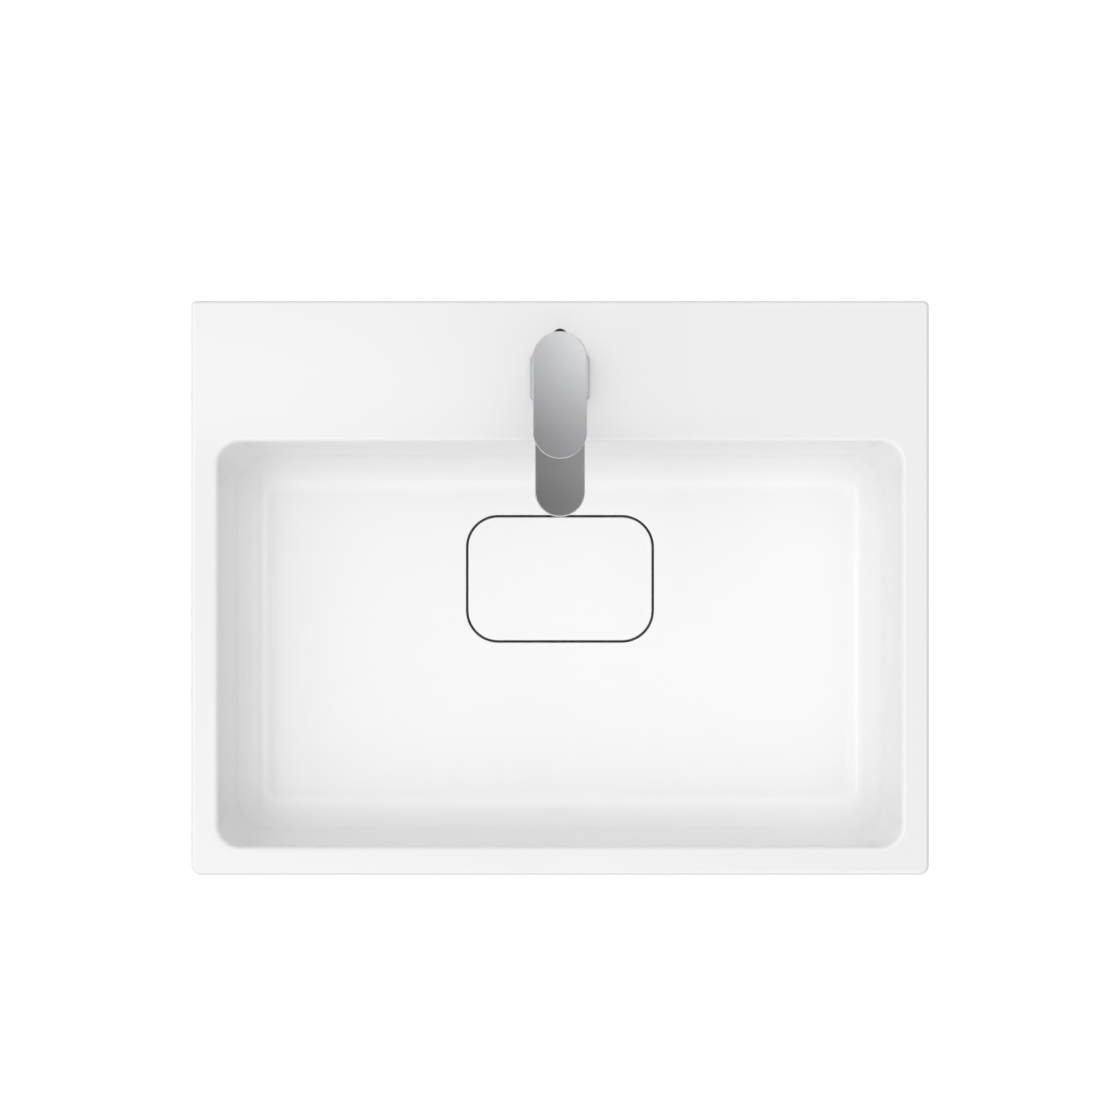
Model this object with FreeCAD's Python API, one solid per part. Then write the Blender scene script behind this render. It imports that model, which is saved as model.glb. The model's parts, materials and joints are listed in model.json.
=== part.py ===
import FreeCAD, Part
import math
import os

# Washbasin for a wall, with a single-lever mixer and a covered open waste.
# Millimetres. The origin is midway between the two wall bolt holes, on the back face.
# X runs to the right, the front faces -Y, and Z points up.

Vector = FreeCAD.Vector
UP = Vector(0, 0, 1)
RIGHT = Vector(1, 0, 0)
FORWARD = Vector(0, -1, 0)
ORIGIN = Vector(0, 0, 0)
overrun = 5.0

# Basin, outside
basin_width = 600.0
basin_length = 467.0
rim_above_bolts = 60.0
rim_height = 50.0
rear_corner_radius = 4.5
front_corner_radius = 8.0
rim_edge_radius = 1.8
rim_foot_radius = 3.0
ceramic_wall = 12.0

# Bowl
deck_length = 114.5
front_rim_width = 23.0
side_rim_width = 22.0
bowl_depth = 95.0
bowl_wall_run = 13.0
bowl_corner_radius = 18.0
bowl_floor_radius = 30.0
bowl_floor_corner_extra = 4.0
bowl_mouth_radius = 4.0

# Rear deck, back wall and its webs
deck_thickness = 14.0
back_wall_thickness = 14.0
apron_width = 400.0
apron_below_bolts = 75.0
web_end_below_bolts = 30.0
bolt_spacing = 280.0
bolt_hole_radius = 7.0

# Drain cover and the well under it
waste_setback = 226.5
cover_width = 153.5
cover_length = 103.0
cover_corner_radius = 25.0
cover_thickness = 9.0
cover_edge_radius = 1.2
cover_gap = 2.0
well_depth = 22.0
well_floor_radius = 6.0
well_boss_radius = 8.0
cover_leg_radius = 7.0
cover_leg_height = 9.0
cover_leg_inset_x = 18.0
cover_leg_inset_y = 17.0

# Waste
waste_hole_radius = 23.0
grate_radius = 31.5
grate_thickness = 2.5
grate_seat_depth = 3.5
grate_spigot_radius = 21.5
grate_spigot_length = 9.0
grate_bore_radius = 19.0
grate_hub_radius = 7.0
grate_spoke_width = 4.0
grate_spoke_count = 6
flange_seal_thickness = 1.5
tail_seal_thickness = 4.0
tail_flange_radius = 35.0
tail_flange_thickness = 4.0
tail_radius = 20.95
tail_bore_radius = 17.0
tail_length = 44.0
tail_hub_radius = 7.0
tail_hub_height = 9.0
waste_screw_radius = 4.0
waste_screw_head_radius = 6.0
waste_screw_head_height = 2.0
waste_screw_length = 30.0
waste_screw_slot_width = 1.0

# Mixer body and its foot
tap_setback = 63.0
tap_hole_radius = 17.5
foot_radius = 28.6
foot_width = 48.0
foot_height = 6.5
foot_edge_radius = 1.6
base_gasket_thickness = 1.5
base_gasket_inset = 1.0
body_radius = 23.0
body_width = 41.0
body_spigot_radius = 14.8
body_spigot_gap = 0.5

# Spout
spout_width = 39.4
spout_reach = 113.6
spout_below_body_top = 2.0
spout_slope_drop = 3.0
spout_tip_thickness = 16.0
spout_root_height = 40.0
spout_root_setback = 20.0
spout_edge_radius = 1.2
channel_radius = 3.2
channel_low_height = 38.0

# Jet former in the spout's tip
aerator_radius = 12.0
aerator_height = 9.5
aerator_wall = 1.4
aerator_lip = 1.2
aerator_drop = 1.0
aerator_seal_thickness = 1.5
aerator_hole_radius = 0.9
aerator_ring_count = 3
aerator_ring_step = 2.8
aerator_holes_per_ring = 6

# Cartridge
cartridge_seat_height = 60.0
cartridge_radius = 17.5
cartridge_wall = 2.0
cartridge_base = 4.0
cartridge_height = 31.8
port_setback = 5.0
port_half_spacing = 7.5
outlet_port_setback = 6.0
port_radius = 3.0
port_seal_radius = 4.4
port_seal_thickness = 1.2
fixed_disc_thickness = 3.5
moving_disc_radius = 10.5
moving_disc_thickness = 3.4
disc_film = 0.1
mixing_chamber_depth = 1.8
mixing_chamber_half_width = 8.0
mixing_chamber_front = 1.0
mixing_chamber_rear = 8.4
carrier_thickness = 5.0
carrier_boss_radius = 6.5
carrier_boss_height = 4.0
rotor_height = 15.1
rotor_neck_radius = 12.2
rotor_neck_height = 12.0
rotor_pocket_radius = 12.0
rotor_pocket_height = 5.2
cartridge_cap_thickness = 2.2
nut_radius = 18.6
nut_height = 5.5
nut_recess = 0.5
nut_bore_radius = 13.2
nut_key_width = 4.0
nut_key_depth = 2.0

# Spindle and its pin
pivot_above_seat = 28.0
pin_radius = 2.0
pin_length = 24.0
spindle_width = 8.0
spindle_below_pivot = 4.0
spindle_neck_radius = 2.2
ball_radius = 3.4
ball_below_pivot = 10.0
spindle_below_lever_top = 4.0
lever_lift_degrees = 25.0

# Swivel cap
cap_sphere_radius = 23.0
cap_pocket_radius = 15.5

# Lever
lever_width = 42.0
lever_length = 99.0
lever_behind_axis = 30.0
lever_top_height = 135.0
lever_rear_thickness = 13.0
lever_front_thickness = 7.0
lever_edge_radius = 1.0
lever_hub_radius = 17.0
hub_above_cap = 2.0
lever_screw_below_top = 6.5
lever_screw_radius = 2.5
lever_screw_length = 12.0
plug_radius = 4.75
plug_depth = 7.5
plug_dome = 2.5

# Fixings under the deck
stud_radius = 4.0
stud_setback = 8.5
stud_depth_in_body = 12.0
stud_below_deck = 50.0
clamp_radius = 25.0
clamp_slot_half_width = 13.0
clamp_slot_end = 1.0
clamp_gasket_thickness = 3.0
clamp_plate_thickness = 2.0
stud_nut_radius = 7.5
stud_nut_height = 10.0
inlet_thread_radius = 4.5
inlet_thread_depth = 12.0
inlet_channel_radius = 3.5

# Clearances
fit_gap = 0.05
turning_gap = 0.3
seat_gap = 0.1

# Heights and places worked out from the sizes above
rim_top = rim_above_bolts
rim_foot = rim_top - rim_height
bowl_floor = rim_top - bowl_depth
bowl_length = basin_length - deck_length - front_rim_width
bowl_width = basin_width - 2 * side_rim_width
bowl_centre = -deck_length - bowl_length / 2
well_width = cover_width + 2 * cover_gap
well_length = cover_length + 2 * cover_gap
well_radius = cover_corner_radius + cover_gap
well_floor = bowl_floor - well_depth
boss_foot = well_floor - ceramic_wall
grate_seat = well_floor - grate_seat_depth
tail_top = boss_foot - tail_seal_thickness
foot_top = base_gasket_thickness + foot_height
spigot_foot = base_gasket_thickness + body_spigot_gap
fixed_disc_top = cartridge_seat_height + cartridge_base + fixed_disc_thickness
moving_disc_top = fixed_disc_top + disc_film + moving_disc_thickness
carrier_top = moving_disc_top + carrier_thickness
rotor_foot = carrier_top + turning_gap
rotor_shoulder = rotor_foot + rotor_height
rotor_top = rotor_shoulder + rotor_neck_height
cartridge_top = cartridge_seat_height + cartridge_height
nut_foot = cartridge_top + cartridge_cap_thickness
body_height = nut_foot + nut_height + nut_recess
pivot_height = cartridge_seat_height + pivot_above_seat
hub_foot = pivot_height + cap_sphere_radius + hub_above_cap
spindle_top_height = lever_top_height - spindle_below_lever_top
lever_screw_height = lever_top_height - lever_screw_below_top
spout_top_at_body = body_height - spout_below_body_top
spout_top_at_tip = spout_top_at_body - spout_slope_drop
spout_tip_foot = spout_top_at_tip - spout_tip_thickness
aerator_setback = spout_reach - spout_width / 2
aerator_foot = spout_tip_foot - aerator_drop
spout_flat_end = -spout_reach + spout_width
scoop_run = -spout_flat_end - spout_root_setback
scoop_drop = spout_tip_foot - spout_root_height
scoop_radius = (scoop_run ** 2 + scoop_drop ** 2) / (2 * scoop_drop)
scoop_centre = Vector(0, spout_flat_end, spout_tip_foot - scoop_radius)


# Shapes

def box(x_range, y_range, z_range):
    low = Vector(x_range[0], y_range[0], z_range[0])
    sizes = [end - start for start, end in (x_range, y_range, z_range)]
    return Part.makeBox(sizes[0], sizes[1], sizes[2], low)


def cylinder(radius, bottom, top, x=0.0, y=0.0):
    return Part.makeCylinder(radius, top - bottom, Vector(x, y, bottom), UP)


def ring(outer, inner, bottom, top, x=0.0, y=0.0):
    hole = cylinder(inner, bottom - overrun, top + overrun, x, y)
    return cylinder(outer, bottom, top, x, y).cut(hole)


def side_profile(points, half_width):
    """Prism across X from (y, z) points."""
    corners = [Vector(-half_width, y, z) for y, z in points]
    face = Part.Face(Part.makePolygon(corners + corners[:1]))
    return face.extrude(Vector(2 * half_width, 0, 0))


def fillet(shape, radius, wanted):
    edges = [edge for edge in shape.Edges if wanted(edge)]
    return shape.makeFillet(radius, edges)


def edge_middle(edge):
    box_of_edge = edge.BoundBox
    return box_of_edge.Center


def upright(edge):
    start, end = edge.Vertexes[0].Point, edge.Vertexes[-1].Point
    return math.hypot(start.x - end.x, start.y - end.y) < abs(start.z - end.z)


def upright_between(front_y, rear_y):
    return lambda edge: upright(edge) and front_y < edge_middle(edge).y < rear_y


def lies_at(height):
    def wanted(edge):
        span = edge.BoundBox
        return abs(span.ZMin - height) < fit_gap and abs(span.ZMax - height) < fit_gap
    return wanted


def rounded_block(width, length, radius, bottom, top, y):
    """Upright block with rounded corners in plan, centred on x = 0."""
    block = box((-width / 2, width / 2), (y - length / 2, y + length / 2), (bottom, top))
    return fillet(block, radius, upright)


def rounded_outline(half_width, half_length, radius, centre_y, height):
    """Closed wire of four straight sides and four quarter arcs, at one height."""
    diagonal = radius * (1 - math.sqrt(0.5))
    ends, middles = [], []
    for side_x, side_y in ((-1, -1), (1, -1), (1, 1), (-1, 1)):
        corner = Vector(side_x * half_width, centre_y + side_y * half_length, height)
        along_x = corner - Vector(side_x * radius, 0, 0)
        along_y = corner - Vector(0, side_y * radius, 0)
        ends.append((along_y, along_x) if side_x * side_y > 0 else (along_x, along_y))
        middles.append(corner - Vector(side_x * diagonal, side_y * diagonal, 0))
    edges = []
    for index in range(4):
        edges.append(Part.Arc(ends[index][0], middles[index], ends[index][1]).toShape())
        edges.append(Part.makeLine(ends[index][1], ends[(index + 1) % 4][0]))
    return Part.Wire(edges)


def tub(grown, bottom, top):
    """Solid that fills the bowl, with its walls and floor moved out by grown."""
    floor_corner_radius = bowl_floor_radius + bowl_floor_corner_extra

    def outline(height):
        depth_share = (rim_top - height) / bowl_depth
        run = grown - bowl_wall_run * depth_share
        radius = bowl_corner_radius + (floor_corner_radius - bowl_corner_radius) * depth_share + grown
        return rounded_outline(bowl_width / 2 + run, bowl_length / 2 + run, radius, bowl_centre, height)

    body = Part.makeLoft([outline(bottom), outline(top)], True, True)
    return fillet(body, bowl_floor_radius + grown, lies_at(bottom))


# Basin

def rim_slab():
    slab = box((-basin_width / 2, basin_width / 2), (-basin_length, 0), (rim_foot, rim_top))
    slab = fillet(slab, rear_corner_radius, upright_between(-deck_length, overrun))
    slab = fillet(slab, front_corner_radius,
                  upright_between(-basin_length - overrun, -basin_length + front_rim_width))
    slab = fillet(slab, rim_edge_radius, lies_at(rim_top))
    slab = fillet(slab, rim_foot_radius, lies_at(rim_foot))
    half_pocket = basin_width / 2 - back_wall_thickness
    pocket = box((-half_pocket, half_pocket), (-pocket_end(), -back_wall_thickness),
                 (rim_foot - overrun, rim_top - deck_thickness))
    return slab.cut(pocket)


def pocket_end():
    """How far forward the pocket under the deck reaches: into the bowl's rear wall."""
    return deck_length - ceramic_wall / 2


def apron():
    """Back wall with the bolt holes, and the two webs that tie it to the bowl."""
    reach = deck_length + bowl_wall_run
    top = rim_top - deck_thickness
    profile = [(0, top), (0, -apron_below_bolts), (-back_wall_thickness, -apron_below_bolts),
               (-reach, -web_end_below_bolts), (-reach, top)]
    outside = side_profile(profile, apron_width / 2)
    inner_half = apron_width / 2 - back_wall_thickness
    inside = box((-inner_half, inner_half), (-reach - overrun, -back_wall_thickness),
                 (-apron_below_bolts - overrun, top + overrun))
    return outside.cut(inside)


def well_shape(grown, bottom, top, floor_radius):
    block = rounded_block(well_width + 2 * grown, well_length + 2 * grown, well_radius + grown,
                          bottom, top, -waste_setback)
    return fillet(block, floor_radius, lies_at(bottom))


def make_basin():
    belly = tub(ceramic_wall, bowl_floor - ceramic_wall, rim_top - deck_thickness)
    boss = well_shape(ceramic_wall, boss_foot, bowl_floor, well_boss_radius)
    basin = rim_slab().fuse([apron(), belly, boss])
    bowl = tub(0, bowl_floor, rim_top + overrun)
    well = well_shape(0, well_floor, bowl_floor + overrun, well_floor_radius)
    basin = basin.cut([bowl, well])
    basin = round_the_mouth(basin)
    deck_foot = rim_top - deck_thickness
    cuts = [
        cylinder(grate_radius + turning_gap, grate_seat, well_floor + overrun, 0, -waste_setback),
        cylinder(waste_hole_radius, boss_foot - overrun, well_floor, 0, -waste_setback),
        cylinder(tap_hole_radius, deck_foot - overrun, rim_top + overrun, 0, -tap_setback),
    ]
    bolt_hole_length = back_wall_thickness + 2 * overrun
    for side in (-1, 1):
        start = Vector(side * bolt_spacing / 2, overrun, 0)
        cuts.append(Part.makeCylinder(bolt_hole_radius, bolt_hole_length, start, FORWARD))
    return basin.cut(cuts).removeSplitter()


def round_the_mouth(basin):
    """Soft edge where the flat rim turns down into the bowl."""
    at_top = lies_at(rim_top)

    def on_mouth(edge):
        middle = edge_middle(edge)
        inside_x = abs(middle.x) < basin_width / 2 - side_rim_width / 2
        inside_y = -basin_length + front_rim_width / 2 < middle.y < -deck_length / 2
        return at_top(edge) and inside_x and inside_y

    return fillet(basin, bowl_mouth_radius, on_mouth)


def make_drain_cover():
    plate = rounded_block(cover_width, cover_length, cover_corner_radius,
                          bowl_floor - cover_thickness, bowl_floor, -waste_setback)
    plate = fillet(plate, cover_edge_radius, lies_at(bowl_floor))
    legs = [cylinder(cover_leg_radius, bowl_floor - cover_thickness - cover_leg_height,
                     bowl_floor - cover_thickness, x, y) for x, y in leg_places()]
    return plate.fuse(legs).removeSplitter()


def leg_places():
    out_x = cover_width / 2 - cover_leg_inset_x
    out_y = cover_length / 2 - cover_leg_inset_y
    return [(x * out_x, -waste_setback + y * out_y) for x in (-1, 1) for y in (-1, 1)]


def make_cover_pads():
    top = bowl_floor - cover_thickness - cover_leg_height
    pads = [cylinder(cover_leg_radius, well_floor, top, x, y) for x, y in leg_places()]
    return Part.makeCompound(pads)


# Waste, built about its own axis

def at_waste(shape):
    shape.translate(Vector(0, -waste_setback, 0))
    return shape


def make_waste_flange_seal():
    return at_waste(ring(grate_radius, waste_hole_radius, grate_seat, grate_seat + flange_seal_thickness))


def make_waste_grate():
    foot = grate_seat + flange_seal_thickness
    top = foot + grate_thickness
    flange = ring(grate_radius, grate_bore_radius, foot, top)
    spigot = ring(grate_spigot_radius, grate_bore_radius, foot - grate_spigot_length, foot)
    hub = cylinder(grate_hub_radius, foot, top)
    spoke_half = grate_spoke_width / 2
    spokes = []
    for index in range(grate_spoke_count):
        spoke = box((0, grate_bore_radius + fit_gap), (-spoke_half, spoke_half), (foot, top))
        spoke.rotate(ORIGIN, UP, index * 360 / grate_spoke_count)
        spokes.append(spoke)
    grate = flange.fuse([spigot, hub] + spokes)
    screw_hole = cylinder(waste_screw_radius + fit_gap, foot - overrun, top + overrun)
    countersink = cylinder(waste_screw_head_radius + fit_gap, top - waste_screw_head_height, top + overrun)
    return at_waste(grate.cut([screw_hole, countersink]).removeSplitter())


def make_waste_screw():
    top = grate_seat + flange_seal_thickness + grate_thickness
    head = cylinder(waste_screw_head_radius, top - waste_screw_head_height, top)
    shank = cylinder(waste_screw_radius, top - waste_screw_length, top - waste_screw_head_height)
    slot = box((-waste_screw_head_radius, waste_screw_head_radius),
               (-waste_screw_slot_width / 2, waste_screw_slot_width / 2),
               (top - waste_screw_head_height / 2, top + overrun))
    return at_waste(head.fuse(shank).cut(slot).removeSplitter())


def make_waste_tail_seal():
    return at_waste(ring(tail_flange_radius, waste_hole_radius, tail_top, boss_foot))


def make_waste_tail():
    flange_foot = tail_top - tail_flange_thickness
    flange = cylinder(tail_flange_radius, flange_foot, tail_top)
    pipe = cylinder(tail_radius, flange_foot - tail_length, flange_foot)
    bore = cylinder(tail_bore_radius, flange_foot - tail_length - overrun, tail_top + overrun)
    shell = flange.fuse(pipe).cut(bore)
    tail_hub_foot = tail_top - tail_hub_height
    hub = cylinder(tail_hub_radius, tail_hub_foot, tail_top)
    bar = box((-tail_bore_radius - fit_gap, tail_bore_radius + fit_gap),
              (-grate_spoke_width / 2, grate_spoke_width / 2), (tail_hub_foot, tail_top))
    screw_hole = cylinder(waste_screw_radius + fit_gap, tail_hub_foot - overrun, tail_top + overrun)
    return at_waste(shell.fuse([hub, bar]).cut(screw_hole).removeSplitter())


# Mixer, built about its own axis with z = 0 on the deck

def at_tap(shape):
    shape.translate(Vector(0, -tap_setback, rim_top))
    return shape


def flat_sided(radius, width, bottom, top):
    """Round column with two flats, width apart."""
    column = cylinder(radius, bottom, top)
    strip = box((-width / 2, width / 2), (-radius, radius), (bottom, top))
    return column.common(strip)


def make_base_gasket():
    gasket = flat_sided(foot_radius - base_gasket_inset, foot_width - 2 * base_gasket_inset,
                        0, base_gasket_thickness)
    return at_tap(gasket.cut(cylinder(tap_hole_radius, -overrun, base_gasket_thickness + overrun)))


def make_base_plate():
    plate = flat_sided(foot_radius, foot_width, base_gasket_thickness, foot_top)
    plate = fillet(plate, foot_edge_radius, lies_at(foot_top))
    hole = cylinder(body_spigot_radius + fit_gap, 0, foot_top + overrun)
    return at_tap(plate.cut(hole))


def spout_shape():
    """Spout with a flat underside at its tip that sweeps down to the body in one arc."""
    tip = -spout_reach
    profile = [(0, spout_top_at_body), (tip, spout_top_at_tip), (tip, spout_tip_foot),
               (spout_flat_end, spout_tip_foot), (-spout_root_setback, spout_root_height),
               (0, spout_root_height)]
    side = side_profile(profile, spout_width / 2)
    side = side.cut(scoop())
    return side.common(stadium(spout_width, 0, tip, 0, body_height))


def scoop():
    """Round bar across X that hollows the spout's underside, flush with the flat at the tip."""
    start = scoop_centre - Vector(spout_width, 0, 0)
    return Part.makeCylinder(scoop_radius, 2 * spout_width, start, RIGHT)


def stadium(width, rear_y, front_y, bottom, top):
    """Upright block from rear_y forward to front_y, round at its front end."""
    straight = box((-width / 2, width / 2), (front_y + width / 2, rear_y), (bottom, top))
    return straight.fuse(cylinder(width / 2, bottom, top, 0, front_y + width / 2)).removeSplitter()


def water_channel():
    """Mixed water's way: down from the cartridge, forward, up in front of it, along the spout."""
    seat_corner = Vector(0, -cartridge_radius - seat_gap, cartridge_seat_height)
    outward = seat_corner - scoop_centre
    middle = scoop_centre + outward * ((outward.Length + scoop_radius) / 2 / outward.Length)
    rise = Vector(0, -outward.z, outward.y)
    spout_level = spout_top_at_tip - spout_tip_thickness / 2
    turns = [
        Vector(0, outlet_port_setback, cartridge_seat_height),
        Vector(0, outlet_port_setback, channel_low_height),
        middle + rise * ((channel_low_height - middle.z) / rise.z),
        middle + rise * ((spout_level - middle.z) / rise.z),
        Vector(0, -aerator_setback, spout_level),
    ]
    runs = [Part.makeSphere(channel_radius, turn) for turn in turns[1:-1]]
    for start, end in zip(turns, turns[1:]):
        runs.append(Part.makeCylinder(channel_radius, (end - start).Length, start, end - start))
    return runs[0].fuse(runs[1:])


def make_mixer_body():
    column = flat_sided(body_radius, body_width, foot_top, body_height)
    spout = fillet(spout_shape(), spout_edge_radius, is_spout_rim)
    spigot = cylinder(body_spigot_radius, spigot_foot, foot_top)
    body = column.fuse([spout, spigot])
    aerator_seat = aerator_foot + aerator_height + aerator_seal_thickness
    seat = cartridge_seat_height
    cuts = [
        cylinder(cartridge_radius + seat_gap, seat, body_height + overrun),
        cylinder(nut_radius + seat_gap, nut_foot, body_height + overrun),
        cylinder(port_radius, channel_low_height, seat + overrun, 0, outlet_port_setback),
        cylinder(aerator_radius + fit_gap, spout_tip_foot - overrun, aerator_seat, 0, -aerator_setback),
        cylinder(stud_radius + fit_gap, 0, spigot_foot + stud_depth_in_body, 0, stud_setback),
        water_channel(),
    ]
    for side in (-1, 1):
        x = side * port_half_spacing
        cuts.append(cylinder(inlet_thread_radius, 0, spigot_foot + inlet_thread_depth, x, -port_setback))
        cuts.append(cylinder(inlet_channel_radius, 0, seat + overrun, x, -port_setback))
    return at_tap(body.cut(cuts).removeSplitter())


def is_spout_rim(edge):
    """Top edges of the spout in front of the body."""
    span = edge.BoundBox
    at_top = span.ZMin > spout_top_at_tip - fit_gap and span.ZLength < spout_slope_drop + fit_gap
    return at_top and span.YMin < -fit_gap


def make_aerator_seal():
    foot = aerator_foot + aerator_height
    inner = aerator_radius - 2 * aerator_wall
    return at_tap(ring(aerator_radius, inner, foot, foot + aerator_seal_thickness, 0, -aerator_setback))


def make_aerator_housing():
    top = aerator_foot + aerator_height
    bore_radius = aerator_radius - aerator_wall
    shell = cylinder(aerator_radius, aerator_foot, top, 0, -aerator_setback)
    bore = cylinder(bore_radius, aerator_foot + aerator_lip, top + overrun, 0, -aerator_setback)
    mouth = cylinder(bore_radius - aerator_lip, aerator_foot - overrun, top, 0, -aerator_setback)
    return at_tap(shell.cut([bore, mouth]))


def make_aerator_insert():
    foot = aerator_foot + aerator_lip
    top = aerator_foot + aerator_height
    core = cylinder(aerator_radius - aerator_wall - fit_gap, foot, top, 0, -aerator_setback)
    holes = []
    for ring_index in range(aerator_ring_count):
        radius = ring_index * aerator_ring_step
        count = aerator_holes_per_ring * ring_index or 1
        for index in range(count):
            angle = 2 * math.pi * index / count
            x = radius * math.cos(angle)
            y = radius * math.sin(angle) - aerator_setback
            holes.append(cylinder(aerator_hole_radius, foot - overrun, top + overrun, x, y))
    return at_tap(core.cut(holes))


# Cartridge in the mixer

def port_places():
    inlets = [(side * port_half_spacing, -port_setback) for side in (-1, 1)]
    return inlets + [(0, outlet_port_setback)]


def make_port_seals():
    seals = [ring(port_seal_radius, port_radius, cartridge_seat_height,
                  cartridge_seat_height + port_seal_thickness, x, y) for x, y in port_places()]
    return at_tap(Part.makeCompound(seals))


def make_cartridge_housing():
    inside = cylinder(cartridge_radius - cartridge_wall, cartridge_seat_height + cartridge_base,
                      cartridge_top + overrun)
    housing = cylinder(cartridge_radius, cartridge_seat_height, cartridge_top).cut(inside)
    cuts = []
    for x, y in port_places():
        cuts.append(cylinder(port_radius, cartridge_seat_height - overrun, cartridge_top, x, y))
        cuts.append(cylinder(port_seal_radius + fit_gap, cartridge_seat_height - overrun,
                             cartridge_seat_height + port_seal_thickness, x, y))
    return at_tap(housing.cut(cuts))


def make_fixed_disc():
    disc = cylinder(cartridge_radius - cartridge_wall - seat_gap, fixed_disc_top - fixed_disc_thickness,
                    fixed_disc_top)
    ports = [cylinder(port_radius, 0, body_height, x, y) for x, y in port_places()]
    return at_tap(disc.cut(ports))


def make_moving_disc():
    foot = fixed_disc_top + disc_film
    disc = cylinder(moving_disc_radius, foot, moving_disc_top)
    chamber = box((-mixing_chamber_half_width, mixing_chamber_half_width),
                  (-mixing_chamber_front, mixing_chamber_rear), (foot - overrun, foot + mixing_chamber_depth))
    round_end = cylinder(moving_disc_radius - cartridge_wall, foot - overrun, moving_disc_top)
    return at_tap(disc.cut(chamber.common(round_end)))


def make_disc_carrier():
    plate = cylinder(moving_disc_radius, moving_disc_top, carrier_top)
    boss = cylinder(carrier_boss_radius, carrier_top, carrier_top + carrier_boss_height)
    pocket_foot = pivot_height - ball_below_pivot - ball_radius - turning_gap
    pocket = cylinder(ball_radius + turning_gap, pocket_foot, body_height)
    return at_tap(plate.fuse(boss).cut(pocket).removeSplitter())


def make_rotor():
    drum = cylinder(cartridge_radius - cartridge_wall - turning_gap, rotor_foot, rotor_shoulder)
    neck = cylinder(rotor_neck_radius, rotor_shoulder, rotor_top)
    slot_half = spindle_width / 2 + turning_gap
    slot_rear = lean(rotor_top - pivot_height) + turning_gap
    cuts = [
        cylinder(rotor_pocket_radius, rotor_foot - overrun, rotor_foot + rotor_pocket_height),
        box((-slot_half, slot_half), (-lean(spindle_below_pivot) - turning_gap, slot_rear),
            (rotor_foot - overrun, rotor_top + overrun)),
        pivot_rod(pin_radius, pin_length),
    ]
    return at_tap(drum.fuse(neck).cut(cuts).removeSplitter())


def lean(distance):
    """How far the spindle's face lies from the axis with the lever up, distance from the pivot."""
    lift = math.radians(lever_lift_degrees)
    return (spindle_width / 2 + distance * math.sin(lift)) / math.cos(lift)


def pivot_rod(radius, length):
    start = Vector(-length / 2, 0, pivot_height)
    return Part.makeCylinder(radius, length, start, RIGHT)


def make_pivot_pin():
    return at_tap(pivot_rod(pin_radius, pin_length))


def make_cartridge_cap():
    return at_tap(ring(cartridge_radius, rotor_neck_radius + turning_gap, cartridge_top, nut_foot))


def make_retaining_nut():
    top = nut_foot + nut_height
    nut = ring(nut_radius, nut_bore_radius, nut_foot, top)
    keys = []
    for angle in (0, 90):
        key = box((-nut_radius, nut_radius), (-nut_key_width / 2, nut_key_width / 2),
                  (top - nut_key_depth, top + overrun))
        key.rotate(ORIGIN, UP, angle)
        keys.append(key)
    return at_tap(nut.cut(keys))


def make_spindle():
    half = spindle_width / 2
    square = box((-half, half), (-half, half), (pivot_height - spindle_below_pivot, spindle_top_height))
    ball_height = pivot_height - ball_below_pivot
    neck = cylinder(spindle_neck_radius, ball_height, pivot_height - spindle_below_pivot)
    ball = Part.makeSphere(ball_radius, Vector(0, 0, ball_height))
    eye = pivot_rod(pin_radius + fit_gap, pin_length)
    return at_tap(square.fuse([neck, ball]).cut(eye).removeSplitter())


def make_swivel_cap():
    foot = body_height + turning_gap
    ball = Part.makeSphere(cap_sphere_radius, Vector(0, 0, pivot_height))
    zone = cylinder(cap_sphere_radius, foot, pivot_height + cap_sphere_radius)
    slot_half = spindle_width / 2 + 2 * turning_gap
    cuts = [
        cylinder(cap_pocket_radius, foot - overrun, rotor_top),
        box((-slot_half, slot_half), (-slot_half, lean(cap_sphere_radius)), (foot, hub_foot)),
    ]
    return at_tap(ball.common(zone).cut(cuts))


# Lever on the spindle

def make_lever():
    rear = lever_behind_axis
    front = rear - lever_length
    profile = [(rear, lever_top_height), (front, lever_top_height),
               (front, lever_top_height - lever_front_thickness),
               (rear, lever_top_height - lever_rear_thickness)]
    side = side_profile(profile, lever_width / 2)
    plan = stadium(lever_width, 0, front, hub_foot, lever_top_height)
    rear_end = cylinder(lever_width / 2, hub_foot, lever_top_height, 0, rear - lever_width / 2)
    middle = box((-lever_width / 2, lever_width / 2), (0, rear - lever_width / 2),
                 (hub_foot, lever_top_height))
    plate = side.common(plan.fuse([rear_end, middle]).removeSplitter())
    plate = fillet(plate, lever_edge_radius, lies_at(lever_top_height))
    hub = cylinder(lever_hub_radius, hub_foot, lever_top_height - lever_front_thickness)
    lever = plate.fuse(hub)
    half = spindle_width / 2 + fit_gap
    cuts = [
        box((-half, half), (-half, half), (hub_foot - overrun, spindle_top_height + fit_gap)),
        along_screw(lever_screw_radius + fit_gap, 0, lever_behind_axis + overrun),
        along_screw(plug_radius + fit_gap, lever_behind_axis - plug_depth, lever_behind_axis + overrun),
    ]
    return at_tap(lever.cut(cuts).removeSplitter())


def along_screw(radius, start, end):
    """Round bar on the clamping screw's axis, from start to end behind the mixer's axis."""
    return Part.makeCylinder(radius, end - start, Vector(0, end, lever_screw_height), FORWARD)


def make_lever_screw():
    start = spindle_width / 2
    screw = along_screw(lever_screw_radius, start, start + lever_screw_length)
    socket = along_screw(lever_screw_radius / 2, start + lever_screw_length / 2, start + lever_screw_length)
    return at_tap(screw.cut(socket))


def make_lever_plug():
    end = lever_behind_axis + plug_dome
    plug = along_screw(plug_radius, lever_behind_axis - plug_depth, end)
    dome = plug_dome - fit_gap
    plug = fillet(plug, dome, lambda edge: edge.BoundBox.YMin > end - fit_gap)
    return at_tap(plug)


# Fixings under the deck

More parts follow.
